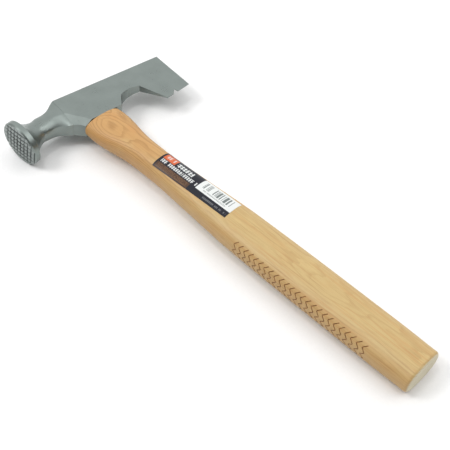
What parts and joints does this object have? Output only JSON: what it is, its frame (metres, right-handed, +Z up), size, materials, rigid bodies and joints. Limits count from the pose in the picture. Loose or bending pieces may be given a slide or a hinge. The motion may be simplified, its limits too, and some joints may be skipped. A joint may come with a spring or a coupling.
{
  "type": "drywall hammer",
  "caption": "Drywall hammer: forged hatchet head with checkered bell face, bearded blade and nail notch, wedged onto an oval hardwood handle with a film label.",
  "frame": {"origin": "on the surface the hammer lies on, under the middle of its bounding box", "axes": "+X along the handle from the head to the butt, +Y from the striking face to the cutting edge, +Z up, square to the flat of the blade"},
  "size_m": [0.3622, 0.1484, 0.0376],
  "materials": {
    "head_steel": "satin grey forged steel",
    "handle_wood": "clear varnished hickory",
    "wedge_wood": "plain sawn hardwood",
    "wedge_steel": "plain mild steel",
    "label_film": "glossy printed film"
  },
  "bodies": {
    "root": {"hammer_head": "head_steel", "handle": "handle_wood", "wood_wedge": "wedge_wood", "steel_wedges": "wedge_steel", "grip_label": "label_film"}
  },
  "joints": []
}
